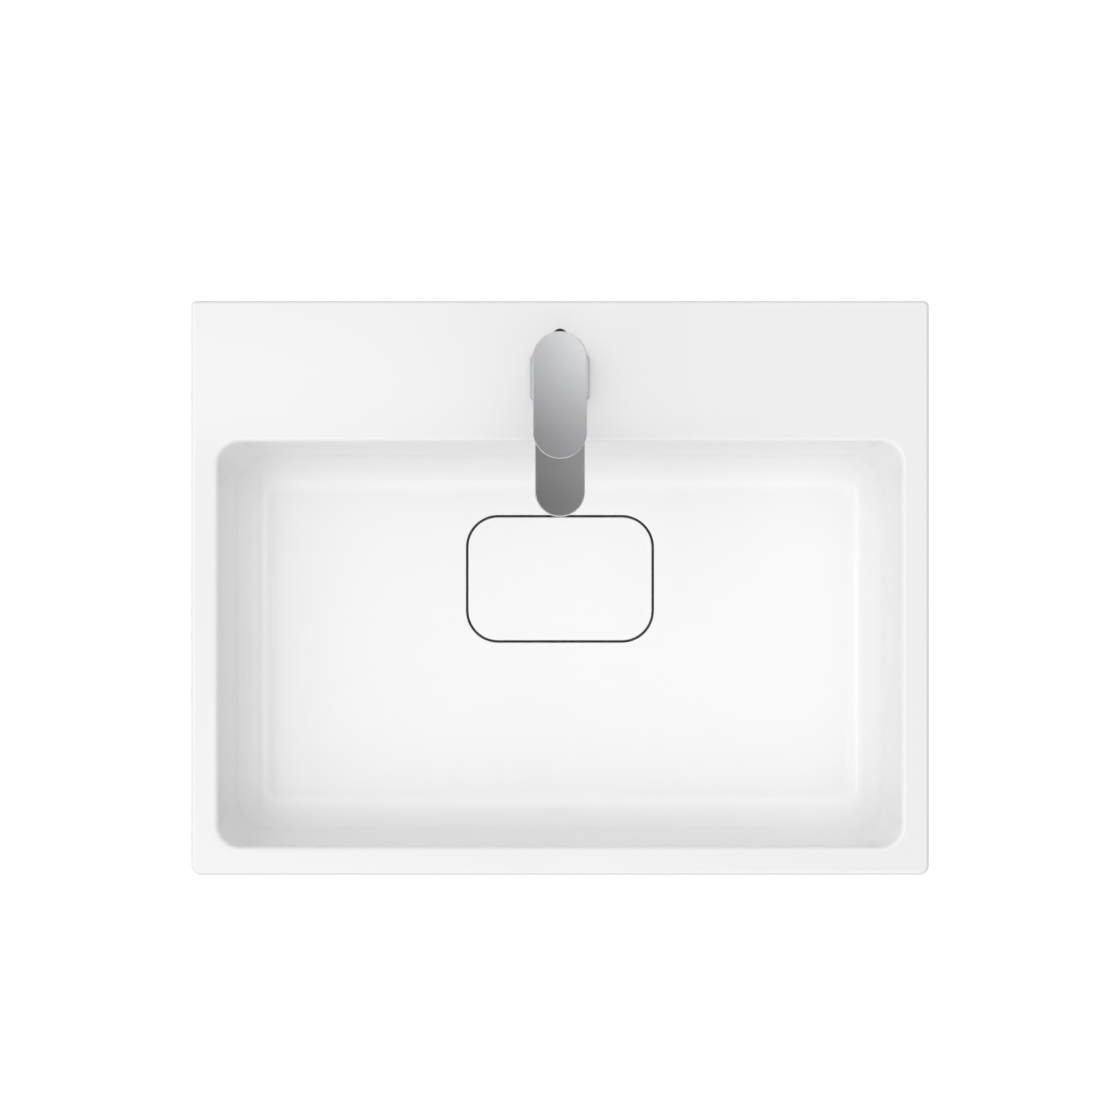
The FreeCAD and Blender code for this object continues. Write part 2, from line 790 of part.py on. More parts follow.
def horseshoe(thickness, top):
    plate = cylinder(clamp_radius, top - thickness, top)
    slot = box((-clamp_slot_half_width, clamp_slot_half_width),
               (-clamp_radius - overrun, clamp_slot_end), (top - thickness - overrun, top + overrun))
    hole = cylinder(stud_radius + turning_gap, top - thickness - overrun, top + overrun, 0, stud_setback)
    return plate.cut([slot, hole])


def make_clamp_gasket():
    return at_tap(horseshoe(clamp_gasket_thickness, -deck_thickness))


def make_clamp_plate():
    return at_tap(horseshoe(clamp_plate_thickness, -deck_thickness - clamp_gasket_thickness))


def make_stud_nut():
    top = -deck_thickness - clamp_gasket_thickness - clamp_plate_thickness
    corners = [Vector(stud_nut_radius * math.cos(math.radians(angle)),
                      stud_setback + stud_nut_radius * math.sin(math.radians(angle)), top - stud_nut_height)
               for angle in range(0, 360, 60)]
    hexagon = Part.Face(Part.makePolygon(corners + corners[:1]))
    nut = hexagon.extrude(Vector(0, 0, stud_nut_height))
    return at_tap(nut.cut(cylinder(stud_radius + fit_gap, top - stud_nut_height - overrun, top + overrun,
                                   0, stud_setback)))


def make_mounting_stud():
    return at_tap(cylinder(stud_radius, -stud_below_deck, spigot_foot + stud_depth_in_body,
                           0, stud_setback))


pieces = {
    "basin": make_basin,
    "drain_cover": make_drain_cover,
    "cover_pads": make_cover_pads,
    "waste_grate": make_waste_grate,
    "waste_flange_seal": make_waste_flange_seal,
    "waste_screw": make_waste_screw,
    "waste_tail_seal": make_waste_tail_seal,
    "waste_tail": make_waste_tail,
    "base_gasket": make_base_gasket,
    "base_plate": make_base_plate,
    "mixer_body": make_mixer_body,
    "aerator_seal": make_aerator_seal,
    "aerator_insert": make_aerator_insert,
    "aerator_housing": make_aerator_housing,
    "port_seals": make_port_seals,
    "cartridge_housing": make_cartridge_housing,
    "fixed_disc": make_fixed_disc,
    "moving_disc": make_moving_disc,
    "disc_carrier": make_disc_carrier,
    "rotor": make_rotor,
    "pivot_pin": make_pivot_pin,
    "cartridge_cap": make_cartridge_cap,
    "retaining_nut": make_retaining_nut,
    "spindle": make_spindle,
    "swivel_cap": make_swivel_cap,
    "lever": make_lever,
    "lever_screw": make_lever_screw,
    "lever_plug": make_lever_plug,
    "mounting_stud": make_mounting_stud,
    "clamp_gasket": make_clamp_gasket,
    "clamp_plate": make_clamp_plate,
    "stud_nut": make_stud_nut,
}

os.makedirs("parts", exist_ok=True)
for name, make in pieces.items():
    shape = make()
    shape.exportStep("parts/" + name + ".step")
    print(name, "solids", len(shape.Solids), "valid", shape.isValid(), "volume", round(shape.Volume))
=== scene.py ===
import bpy
import bmesh
import json
import math
from mathutils import Matrix, Vector


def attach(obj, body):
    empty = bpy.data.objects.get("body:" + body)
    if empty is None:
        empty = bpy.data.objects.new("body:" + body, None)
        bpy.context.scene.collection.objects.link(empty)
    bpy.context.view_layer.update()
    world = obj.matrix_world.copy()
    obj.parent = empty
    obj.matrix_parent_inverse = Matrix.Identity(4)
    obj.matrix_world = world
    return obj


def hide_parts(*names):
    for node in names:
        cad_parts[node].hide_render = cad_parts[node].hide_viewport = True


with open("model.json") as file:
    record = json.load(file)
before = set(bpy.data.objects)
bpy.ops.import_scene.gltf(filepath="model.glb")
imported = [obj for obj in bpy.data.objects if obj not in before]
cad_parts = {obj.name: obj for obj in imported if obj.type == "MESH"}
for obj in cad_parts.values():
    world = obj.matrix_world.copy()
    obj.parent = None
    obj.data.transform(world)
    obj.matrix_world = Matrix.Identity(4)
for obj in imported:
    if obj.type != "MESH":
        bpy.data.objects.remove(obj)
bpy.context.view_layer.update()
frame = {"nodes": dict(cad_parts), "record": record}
print("frame loaded,", len(frame["nodes"]), "solids")

mm = 0.001
slack = 0.05 * mm  # places nearer than this count as one


# node work

class Wire:  # a socket that can be used in sums
    def __init__(self, tree, socket):
        self.tree = tree
        self.socket = socket

    def apply(self, operation, *others):
        operands = dict(enumerate((self, *others)))
        return self.tree.node("ShaderNodeMath", {"operation": operation}, operands)

    def __add__(self, other):
        return self.apply("ADD", other)

    def __sub__(self, other):
        return self.apply("SUBTRACT", other)

    def __mul__(self, other):
        return self.apply("MULTIPLY", other)

    def __rsub__(self, other):
        return (self * -1).apply("ADD", other)

    __radd__ = __add__
    __rmul__ = __mul__

    def atLeast(self, other):
        return self.apply("MAXIMUM", other)

    def atMost(self, other):
        return self.apply("MINIMUM", other)

    def clamped(self):
        return self.atMost(1.0).atLeast(0.0)


class Tree:
    def __init__(self, nodeTree):
        self.nodes = nodeTree.nodes
        self.links = nodeTree.links
        self.nodes.clear()

    def node(self, kind, settings=None, inputs=None, output=0):
        made = self.nodes.new(kind)
        for name, value in (settings or {}).items():
            if name == "stops":
                self.setStops(made.color_ramp, value)
            else:
                setattr(made, name, value)
        for name, value in (inputs or {}).items():
            if isinstance(value, Wire):
                self.links.new(value.socket, made.inputs[name])
            else:
                made.inputs[name].default_value = value
        return Wire(self, made.outputs[output]) if made.outputs else made

    def setStops(self, ramp, stops):
        while len(ramp.elements) < len(stops):
            ramp.elements.new(0.5)
        for element, (place, colour) in zip(ramp.elements, stops):
            element.position = place
            element.color = (*colour, 1.0)

    def objectPlace(self, stretch=(1, 1, 1), turn=(0, 0, 0)):
        place = self.node("ShaderNodeTexCoord", output="Object")
        return self.node("ShaderNodeMapping", {}, {"Vector": place, "Scale": stretch, "Rotation": turn})

    def noise(self, place, scale, detail, roughness):
        inputs = {"Vector": place, "Scale": scale, "Detail": detail, "Roughness": roughness}
        return self.node("ShaderNodeTexNoise", {}, inputs, "Fac")

    def ramp(self, along, places):
        # grey ramp whose places are in the wire's own measure
        low, high = places[0][0], places[-1][0]
        top = max(value for place, value in places)
        stops = [((place - low) / (high - low), [value / top] * 3) for place, value in places]
        share = (along - low) * (1 / (high - low))
        return self.node("ShaderNodeValToRGB", {"stops": stops}, {0: share}) * top

    def blend(self, factor, first, second):
        colours = {0: factor, 6: (*first, 1.0), 7: (*second, 1.0)}
        return self.node("ShaderNodeMix", {"data_type": "RGBA"}, colours, 2)

    def bump(self, height, strength, distance):
        inputs = {"Height": height, "Strength": strength, "Distance": distance}
        return self.node("ShaderNodeBump", {}, inputs)

    def background(self, colour, strength):
        return self.node("ShaderNodeBackground", {}, {"Color": colour, "Strength": strength})

    def mixShaders(self, factor, first, second):
        return self.node("ShaderNodeMixShader", {}, {0: factor, 1: first, 2: second})


def newMaterial(name):
    material = bpy.data.materials.new(name)
    material.use_nodes = True
    return material, Tree(material.node_tree)


def finishMaterial(tree, shader):
    tree.node("ShaderNodeOutputMaterial", {}, {"Surface": shader})


# finishes: a noise is its scale, detail and roughness, and a relief its strength and its depth in metres

def glazedCeramic():
    look = {
        "darkerTone": (0.853, 0.851, 0.860), "lighterTone": (0.904, 0.904, 0.907),
        "paintedLightHeight": 0.045, "paintedLightFade": 18,  # painted light: the colour turns lighter lower down and is lightest on the bowl's floor
        "cloud": (7.0, 3.0, 0.55), "cloudShare": 0.25,
        "smooth": 0.045, "worn": 0.09, "wear": (38.0, 4.0, 0.6),
        "peel": (210.0, 1.0, 0.4), "speck": (2600.0, 0.0, 0.5), "speckShare": 0.12,
        "relief": (0.14, 0.00005), "bend": 1.5,
    }
    material, tree = newMaterial("glazedCeramic")
    place = tree.objectPlace()
    height = tree.node("ShaderNodeSeparateXYZ", {}, {"Vector": place}, "Z")
    cloud = tree.noise(place, *look["cloud"])
    # painted light: lighter the further below the rim, mixed with a random cloud in tone
    paintedFloorLightAndCloud = (look["paintedLightHeight"] - height) * look["paintedLightFade"] + (cloud - 0.5) * look["cloudShare"]
    wear = tree.noise(place, *look["wear"])
    peel = tree.noise(place, *look["peel"])
    speck = tree.noise(place, *look["speck"])
    shader = tree.node("ShaderNodeBsdfPrincipled", {}, {
        "Base Color": tree.blend(paintedFloorLightAndCloud.clamped(), look["darkerTone"], look["lighterTone"]),
        "Roughness": wear.apply("POWER", 2.0) * (look["worn"] - look["smooth"]) + look["smooth"],
        "Normal": tree.bump(peel + (speck - 0.5) * look["speckShare"], *look["relief"]),
        "IOR": look["bend"],
    })
    finishMaterial(tree, shader)
    return material


def polishedChrome():
    look = {
        "bright": (0.640, 0.643, 0.654), "shade": (0.605, 0.609, 0.622), "cloud": (55.0, 3.0, 0.6),
        "polish": 0.03, "haze": 0.055, "relief": (0.08, 0.00002),
        "wipe": (70.0, 4.0, 0.6), "wipeStretch": (1, 6, 1), "wipeTurn": (0, 0, 0.5),  # strokes of a cloth
    }
    material, tree = newMaterial("polishedChrome")
    cloud = tree.noise(tree.objectPlace(), *look["cloud"])
    wipe = tree.noise(tree.objectPlace(look["wipeStretch"], look["wipeTurn"]), *look["wipe"])
    shader = tree.node("ShaderNodeBsdfPrincipled", {}, {
        "Base Color": tree.blend(cloud, look["bright"], look["shade"]),
        "Metallic": 1.0,
        "Roughness": wipe * (look["haze"] - look["polish"]) + look["polish"],
        "Normal": tree.bump(cloud, *look["relief"]),
    })
    finishMaterial(tree, shader)
    return material


def blackRubber():
    look = {
        "fresh": (0.028, 0.028, 0.029), "bloom": (0.055, 0.055, 0.056), "cloud": (120.0, 5.0, 0.65),
        "rough": 0.58, "rougher": 0.2, "grain": (1800.0, 2.0, 0.5), "relief": (0.4, 0.0001),
    }
    material, tree = newMaterial("blackRubber")
    place = tree.objectPlace()
    bloom = tree.noise(place, *look["cloud"])
    grain = tree.noise(place, *look["grain"])
    shader = tree.node("ShaderNodeBsdfPrincipled", {}, {
        "Base Color": tree.blend(bloom, look["fresh"], look["bloom"]),
        "Roughness": bloom * look["rougher"] + look["rough"],
        "Normal": tree.bump(grain, *look["relief"]),
    })
    finishMaterial(tree, shader)
    return material


def turnedBrass():
    look = {
        "bright": (0.80, 0.61, 0.29), "dull": (0.66, 0.47, 0.20), "tarnish": (140.0, 5.0, 0.6),
        "rough": 0.2, "rougher": 0.16, "relief": (0.3, 0.00006),
        "turning": (90.0, 2.0, 0.5), "turningStretch": (1, 1, 40),  # rings round the upright axis
    }
    material, tree = newMaterial("turnedBrass")
    tarnish = tree.noise(tree.objectPlace(), *look["tarnish"])
    turning = tree.noise(tree.objectPlace(look["turningStretch"]), *look["turning"])
    shader = tree.node("ShaderNodeBsdfPrincipled", {}, {
        "Base Color": tree.blend(tarnish, look["bright"], look["dull"]),
        "Metallic": 1.0,
        "Roughness": tarnish * look["rougher"] + look["rough"],
        "Normal": tree.bump(turning, *look["relief"]),
    })
    finishMaterial(tree, shader)
    return material


def machinedSteel():
    look = {
        "bright": (0.60, 0.60, 0.61), "dull": (0.48, 0.48, 0.50), "patch": (160.0, 4.0, 0.6),
        "rough": 0.2, "rougher": 0.18, "relief": (0.25, 0.00005),
        "brushing": (60.0, 2.0, 0.5), "brushingStretch": (1, 30, 30),  # strokes from side to side
    }
    material, tree = newMaterial("machinedSteel")
    patch = tree.noise(tree.objectPlace(), *look["patch"])
    brushing = tree.noise(tree.objectPlace(look["brushingStretch"]), *look["brushing"])
    shader = tree.node("ShaderNodeBsdfPrincipled", {}, {
        "Base Color": tree.blend(patch, look["bright"], look["dull"]),
        "Metallic": 1.0,
        "Roughness": brushing * look["rougher"] + look["rough"],
        "Normal": tree.bump(brushing, *look["relief"]),
    })
    finishMaterial(tree, shader)
    return material


def mouldedPlastic(name, light, dark, rough, bend):
    look = {
        "flow": (45.0, 3.0, 0.5), "grain": (1500.0, 3.0, 0.6), "rougher": 0.12, "relief": (0.3, 0.00006),
    }
    material, tree = newMaterial(name)
    place = tree.objectPlace()
    grain = tree.noise(place, *look["grain"])
    shader = tree.node("ShaderNodeBsdfPrincipled", {}, {
        "Base Color": tree.blend(tree.noise(place, *look["flow"]), light, dark),
        "Roughness": grain * look["rougher"] + rough,
        "Normal": tree.bump(grain, *look["relief"]),
        "IOR": bend,
    })
    finishMaterial(tree, shader)
    return material


def groundCeramic():
    look = {
        "light": (0.88, 0.86, 0.81), "dark": (0.80, 0.78, 0.73), "grain": (900.0, 4.0, 0.7),
        "rough": 0.3, "rougher": 0.15, "relief": (0.15, 0.00003),
    }
    material, tree = newMaterial("groundCeramic")
    grain = tree.noise(tree.objectPlace(), *look["grain"])
    shader = tree.node("ShaderNodeBsdfPrincipled", {}, {
        "Base Color": tree.blend(grain, look["light"], look["dark"]),
        "Roughness": grain * look["rougher"] + look["rough"],
        "Normal": tree.bump(grain, *look["relief"]),
    })
    finishMaterial(tree, shader)
    return material


blackTones = ((0.004, 0.004, 0.005), (0.009, 0.009, 0.010))
whiteTones = ((0.84, 0.84, 0.82), (0.78, 0.78, 0.76))
finishes = {
    "glazed_ceramic": glazedCeramic(),
    "chrome": polishedChrome(),
    "rubber": blackRubber(),
    "brass": turnedBrass(),
    "steel": machinedSteel(),
    "black_plastic": mouldedPlastic("blackPlastic", *blackTones, rough=0.30, bend=1.3),
    "white_plastic": mouldedPlastic("whitePlastic", *whiteTones, rough=0.32, bend=1.46),
    "disc_ceramic": groundCeramic(),
}
for subpart in frame["record"]["subparts"]:
    mesh = frame["nodes"][subpart["node"]].data
    mesh.materials.clear()
    mesh.materials.append(finishes[subpart["material_slot"]])
print("finishes made,", len(finishes))


# bench: the few moves that every piece is shaped with

smoothAngle = 32  # edges that turn by more stay sharp
flatWeight = 80  # how much the large faces lead the shading
joinWithin = 0.002 * mm
cutWithin = 0.001 * mm


def only(piece):
    bpy.ops.object.select_all(action="DESELECT")
    piece.select_set(True)
    bpy.context.view_layer.objects.active = piece


def startEdit(piece):
    only(piece)
    bpy.ops.object.mode_set(mode="EDIT")


def endEdit():
    bpy.ops.object.mode_set(mode="OBJECT")


def pick(kind, test):
    # selects the vertices, edges or faces that pass the test
    bpy.ops.mesh.select_mode(type=kind)
    bpy.ops.mesh.select_all(action="DESELECT")
    data = bpy.context.object.data
    mesh = bmesh.from_edit_mesh(data)
    for part in {"VERT": mesh.verts, "EDGE": mesh.edges, "FACE": mesh.faces}[kind]:
        if test(part):
            part.select_set(True)
    bmesh.update_edit_mesh(data)


def near(first, second):
    return abs(first - second) < slack


def bevelPicked(offset, segments, affect="EDGES"):
    bpy.ops.mesh.bevel(offset=offset, offset_type="OFFSET", segments=segments, profile=0.5, affect=affect,
                       clamp_overlap=False)


def facesOutward():
    bpy.ops.mesh.select_all(action="SELECT")
    bpy.ops.mesh.normals_make_consistent(inside=False)


def roundedOutline(halfX, halfY, radius, middleY, height, frontRadius=None):
    # one level of a stack, kept in metres: the rear corners have the first radius
    return tuple(value * mm for value in (halfX, halfY, radius, frontRadius or radius, middleY, height))


def addOutline(outline, segments, first):
    halfX, halfY, rearRadius, frontRadius, middleY, height = outline
    middle = (0, middleY, height)
    bpy.ops.mesh.primitive_plane_add(size=1, location=middle)
    if first:
        bpy.ops.object.transform_apply(location=True, rotation=True, scale=True)
        startEdit(bpy.context.object)
        bpy.ops.mesh.select_all(action="SELECT")
    bpy.ops.transform.resize(value=(2 * halfX, 2 * halfY, 1), center_override=middle)
    for edgeY, radius in ((middleY + halfY, rearRadius), (middleY - halfY, frontRadius)):
        pick("VERT", lambda v: len(v.link_edges) == 2 and near(v.co.z, height)
             and near(abs(v.co.x), halfX) and near(v.co.y, edgeY))
        bevelPicked(radius, segments, "VERTICES")


def fillOf(height, corners):
    # test for the flat face that a new outline still holds
    def test(face):
        alone = all(len(edge.link_faces) == 1 for edge in face.edges)
        return alone and len(face.verts) == corners and near(face.calc_center_median().z, height)
    return test


def openEdge(edge):
    return len(edge.link_faces) < 2


def stackOutlines(name, outlines, segments):
    # rounded outlines, one after the other, joined by walls and closed at both ends
    bridgeLift = 20 * mm
    bpy.ops.object.select_all(action="DESELECT")
    addOutline(outlines[0], segments, True)
    piece = bpy.context.object
    piece.name = name
    piece.data.name = name
    for before, outline in zip(outlines, outlines[1:]):
        lift = bridgeLift if near(before[5], outline[5]) else 0  # two outlines at one height bridge askew
        height = outline[5] + lift
        addOutline((*outline[:5], height), segments, False)
        pick("FACE", fillOf(height, 4 * (segments + 1)))
        bpy.ops.mesh.delete(type="ONLY_FACE")
        pick("EDGE", openEdge)
        bpy.ops.mesh.bridge_edge_loops()
        if lift:
            pick("VERT", lambda v: near(v.co.z, height))
            bpy.ops.transform.translate(value=(0, 0, -lift))
    pick("EDGE", openEdge)
    bpy.ops.mesh.edge_face_add()
    facesOutward()
    endEdit()
    return piece


def loopThrough(outline):
    # test for the closed run of edges that was one outline of a stack
    halfX, halfY, rear, front, middleY, height = outline

    def onOutline(v):
        if not near(v.co.z, height):
            return False
        radius = rear if v.co.y > middleY else front
        x = max(abs(v.co.x) - (halfX - radius), 0)
        y = max(abs(v.co.y - middleY) - (halfY - radius), 0)
        if x > 0 and y > 0:
            return near(math.hypot(x, y), radius)
        return near(max(abs(v.co.x) - halfX, abs(v.co.y - middleY) - halfY), 0)
    return lambda edge: all(onOutline(v) for v in edge.verts)


def settle(name):
    # names the new piece and writes its place into its mesh
    bpy.ops.object.transform_apply(location=True, rotation=True, scale=True)
    bpy.context.object.name = name
    return bpy.context.object


def addBox(name, low, high):
    bpy.ops.object.select_all(action="DESELECT")
    middle = [(a + b) / 2 * mm for a, b in zip(low, high)]
    bpy.ops.mesh.primitive_cube_add(size=1, location=middle)
    bpy.ops.transform.resize(value=[(b - a) * mm for a, b in zip(low, high)], center_override=middle)
    return settle(name)


def addRod(name, radius, start, end, sides=96):
    # round bar between two points that differ along one axis
    bpy.ops.object.select_all(action="DESELECT")
    run = Vector(end) - Vector(start)
    turn = run.to_track_quat("Z", "Y").to_euler()
    bpy.ops.mesh.primitive_cylinder_add(vertices=sides, radius=radius * mm, depth=run.length * mm,
                                        location=(Vector(start) + run / 2) * mm, rotation=turn)
    return settle(name)


def addBall(name, radius, middle, segments=96):
    bpy.ops.object.select_all(action="DESELECT")
    bpy.ops.mesh.primitive_uv_sphere_add(segments=segments, ring_count=segments * 3 // 4,
                                         radius=radius * mm, location=[value * mm for value in middle])
    return settle(name)


def trim(piece, point, normal):
    # cuts away what lies on the normal's side of a plane
    startEdit(piece)
    bpy.ops.mesh.select_all(action="SELECT")
    bpy.ops.mesh.bisect(plane_co=[value * mm for value in point], plane_no=Vector(normal).normalized(),
                        use_fill=True, clear_outer=True, threshold=cutWithin)
    facesOutward()
    endEdit()


def roundEdges(piece, test, offset, segments=3):
    # rounds the edges whose two ends both pass the test
    startEdit(piece)
    pick("EDGE", lambda edge: all(test(v) for v in edge.verts))
    bevelPicked(offset * mm, segments)
    endEdit()


def atHeight(height):
    return lambda v: near(v.co.z, height * mm)


def copyMoved(piece, shift):
    twin = piece.copy()
    twin.data = piece.data.copy()
    bpy.context.scene.collection.objects.link(twin)
    twin.data.transform(Matrix.Translation(Vector(shift) * mm))
    return twin


def combine(piece, tool, operation):
    only(piece)
    change = piece.modifiers.new("combine", "BOOLEAN")
    change.operation = operation
    change.solver = "EXACT"
    change.object = tool
    bpy.ops.object.modifier_apply(modifier=change.name)
    bpy.data.objects.remove(tool)


def bore(piece, name, x, y, hole, sides=96):
    radius, low, high = hole
    combine(piece, addRod(name, radius, (x, y, low), (x, y, high), sides), "DIFFERENCE")


def finishPiece(piece, slotName, body, node):
    startEdit(piece)
    bpy.ops.mesh.select_all(action="SELECT")
    bpy.ops.mesh.remove_doubles(threshold=joinWithin)
    facesOutward()
    endEdit()
    only(piece)
    bpy.ops.object.shade_smooth_by_angle(angle=math.radians(smoothAngle))
    weigh = piece.modifiers.new("weigh", "WEIGHTED_NORMAL")
    weigh.keep_sharp = True
    weigh.weight = flatWeight
    bpy.ops.object.modifier_apply(modifier=weigh.name)
    piece.data.materials.clear()
    piece.data.materials.append(finishes[slotName])
    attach(piece, body)
    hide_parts(node)
    reportClosed(piece)


def reportClosed(piece):
    mesh = bmesh.new()
    mesh.from_mesh(piece.data)
    loose = sum(1 for edge in mesh.edges if len(edge.link_faces) != 2)
    volume = round(mesh.calc_volume() * 1e6, 1)
    print(piece.name, "faces", len(mesh.faces), "open edges", loose, "volume ml", volume)
    mesh.free()


# basin: heights are above the wall bolts, and a Land is the flat strip beside a rounding

basin = {
    "width": 600, "length": 467, "rim": 60, "rimFoot": 10, "rearCorner": 4.5, "frontCorner": 8,
    "rimRound": 3.3, "rimFootRound": 3, "rimLand": 3.4, "footLand": 3.6,
    "bowlHalf": (278, 164.75), "bowlMiddle": -279.25, "bowlDepth": 95, "wall": 12,
    "wallRun": 13,  # how far a wall leans in from mouth to floor
    "mouthCorner": 18, "floorCorner": 34, "floorRadius": 30,
    "mouthRound": 4, "mouthLand": 4.5, "landGap": 0.3,
    "wasteY": -226.5, "wellHalf": (78.75, 53.5), "wellCorner": 27, "wellDepth": 22,
    "wellRound": 6, "wellMouthRound": 0.7, "wellLand": 2, "bossRound": 8, "cornerFacets": 14,
    "deck": 14, "back": 14, "pocketFront": -108.5, "pocketDrop": 6,
    "apronHalf": 200, "apronFoot": -75, "apronTop": 50, "apronReach": 127.5, "apronEdge": 2,
    "webFoot": -30,  # where the slanted foot of a web ends in front
    "webRoot": 4,  # how deep a web stops in the bowl's wall
    "cutReach": 140, "cutTop": 60, "cutBelow": 5,  # the block that clears the space between the webs
    "tapY": -63, "tapHole": (17.5, 30, 70),  # a hole is its radius and the two heights that its cutter spans
    "seat": (31.8, -60.5, -50), "wasteHole": (23, -80, -55),
    "boltX": 140, "boltRadius": 7, "boltFront": -30, "boltBack": 10,
}


def tubOutline(grown, height, inward=0.0):
    # the bowl's wall at a height, moved out by the wall's thickness
    share = (basin["rim"] - height) / basin["bowlDepth"]
    out = grown - basin["wallRun"] * share - inward
    radius = basin["mouthCorner"] + (basin["floorCorner"] - basin["mouthCorner"]) * share + grown - inward
    halfX, halfY = basin["bowlHalf"]
    return roundedOutline(halfX + out, halfY + out, radius, basin["bowlMiddle"], height)


def wallTangent():
    # how far a rounding of one reaches along the bowl's floor and wall
    turn = math.radians(90) - math.atan(basin["wallRun"] / basin["bowlDepth"])
    return math.tan(turn / 2)


def shapeTub(name, grown, rounded):
    # block that fills the bowl, its walls and floor moved out
    floor = tubOutline(grown, basin["rim"] - basin["bowlDepth"] - grown)
    piece = stackOutlines(name, [floor, tubOutline(grown, basin["rim"])], basin["cornerFacets"])
    if rounded:
        startEdit(piece)
        pick("EDGE", loopThrough(floor))
        bevelPicked((basin["floorRadius"] + grown) * wallTangent() * mm, 12)
        endEdit()
    return piece


def shapeCasting():
    # bowl, rim, belly and boss as one stack of outlines, from the well's floor to the boss's foot
    size = basin
    rim, rimFoot, wall = size["rim"], size["rimFoot"], size["wall"]
    floor = rim - size["bowlDepth"]
    wellFoot = floor - size["wellDepth"]
    bellyFoot = floor - wall
    halfX, halfY = size["width"] / 2, size["length"] / 2
    wellX, wellY = size["wellHalf"]
    tangent = wallTangent()
    bellyRadius = size["floorRadius"] + wall

    def rimOutline(inward, height):
        rear, front = size["rearCorner"] - inward, size["frontCorner"] - inward
        return roundedOutline(halfX - inward, halfY - inward, rear, -halfY, height, front)

    def wellOutline(out, height):
        return roundedOutline(wellX + out, wellY + out, size["wellCorner"] + out, size["wasteY"], height)

    outlines = {
        "wellFoot": wellOutline(0, wellFoot),
        "wellMouth": wellOutline(0, floor),
        "wellLand": wellOutline(size["wellLand"], floor),
        "floorLand": tubOutline(0, floor, size["floorRadius"] * tangent + size["landGap"]),
        "floorEdge": tubOutline(0, floor),
        "mouth": tubOutline(0, rim),
        "mouthLand": tubOutline(size["mouthLand"], rim),
        "rimLand": rimOutline(size["rimLand"], rim),
        "rimEdge": rimOutline(0, rim),
        "rimFoot": rimOutline(0, rimFoot),
        "footLand": rimOutline(size["footLand"], rimFoot),
        "bellyTop": tubOutline(wall, rimFoot),
        "bellyFoot": tubOutline(wall, bellyFoot),
        "bellyLand": tubOutline(wall, bellyFoot, bellyRadius * tangent + size["landGap"]),
        "bossTop": wellOutline(wall, bellyFoot),
        "bossFoot": wellOutline(wall, wellFoot - wall),
    }
    piece = stackOutlines("basinCasting", list(outlines.values()), size["cornerFacets"])
    rounding = {  # how far each rounding reaches, and its facets
        "wellFoot": (size["wellRound"], 5),
        "wellMouth": (size["wellMouthRound"], 3),
        "floorEdge": (size["floorRadius"] * tangent, 16),
        "mouth": (size["mouthRound"] * tangent, 8),
        "rimEdge": (size["rimRound"], 9),
        "rimFoot": (size["rimFootRound"], 5),
        "bellyFoot": (bellyRadius * tangent, 12),
        "bossFoot": (size["bossRound"], 6),
    }
    startEdit(piece)
    for name, (offset, segments) in rounding.items():
        pick("EDGE", loopThrough(outlines[name]))
        bevelPicked(offset * mm, segments)
    endEdit()
    return piece


def shapeApron():
    # back wall under the deck with its two webs
    size = basin
    half, foot, back, reach = size["apronHalf"], size["apronFoot"], size["back"], size["apronReach"]
    apron = addBox("apron", (-half, -reach, foot), (half, 0, size["apronTop"]))
    trim(apron, (0, -back, foot), (0, foot - size["webFoot"], back - reach))

    def alongFoot(edge):
        # the foot of a side face, straight and slanted
        first, second = (v.co for v in edge.verts)
        onBack = [near(place.y, 0) for place in (first, second)]
        sunk = [place.z < 0 for place in (first, second)]
        atFoot = all(a or b for a, b in zip(sunk, onBack))
        return atFoot and near(first.x, second.x) and not all(onBack)
    startEdit(apron)
    pick("EDGE", alongFoot)
    bevelPicked(size["apronEdge"] * mm, 4)
    endEdit()
    inner, under = half - back, foot - size["cutBelow"]
    between = addBox("between", (-inner, -size["cutReach"], under), (inner, -back, size["cutTop"]))
    combine(apron, between, "DIFFERENCE")
    combine(apron, shapeTub("inside", size["webRoot"], True), "DIFFERENCE")
    return apron


def shapeBasin():
    size = basin
    piece = shapeCasting()
    side = size["width"] / 2 - size["back"]
    pocket = addBox("pocket", (-side, size["pocketFront"], size["rimFoot"] - size["pocketDrop"]),
                    (side, -size["back"], size["rim"] - size["deck"]))
    combine(pocket, shapeTub("belly", size["wall"], False), "DIFFERENCE")
    combine(piece, pocket, "DIFFERENCE")
    combine(piece, shapeApron(), "UNION")
    bore(piece, "seat", 0, size["wasteY"], size["seat"])
    bore(piece, "wasteHole", 0, size["wasteY"], size["wasteHole"])
    bore(piece, "tapHole", 0, size["tapY"], size["tapHole"])
    for x in (-size["boltX"], size["boltX"]):
        start, end = (x, size["boltFront"], 0), (x, size["boltBack"], 0)
        combine(piece, addRod("boltHole", size["boltRadius"], start, end, 48), "DIFFERENCE")
    finishPiece(piece, "glazed_ceramic", "basin", "basin")


# drain cover

cover = {
    "halfX": 76.75, "halfY": 51.5, "corner": 25, "top": -35, "foot": -44, "edge": 1.2, "footEdge": 0.8,
    "legX": 58.75, "legY": 34.5, "legRadius": 7, "legFoot": -53, "legEdge": 0.6, "legRoot": 3,
}


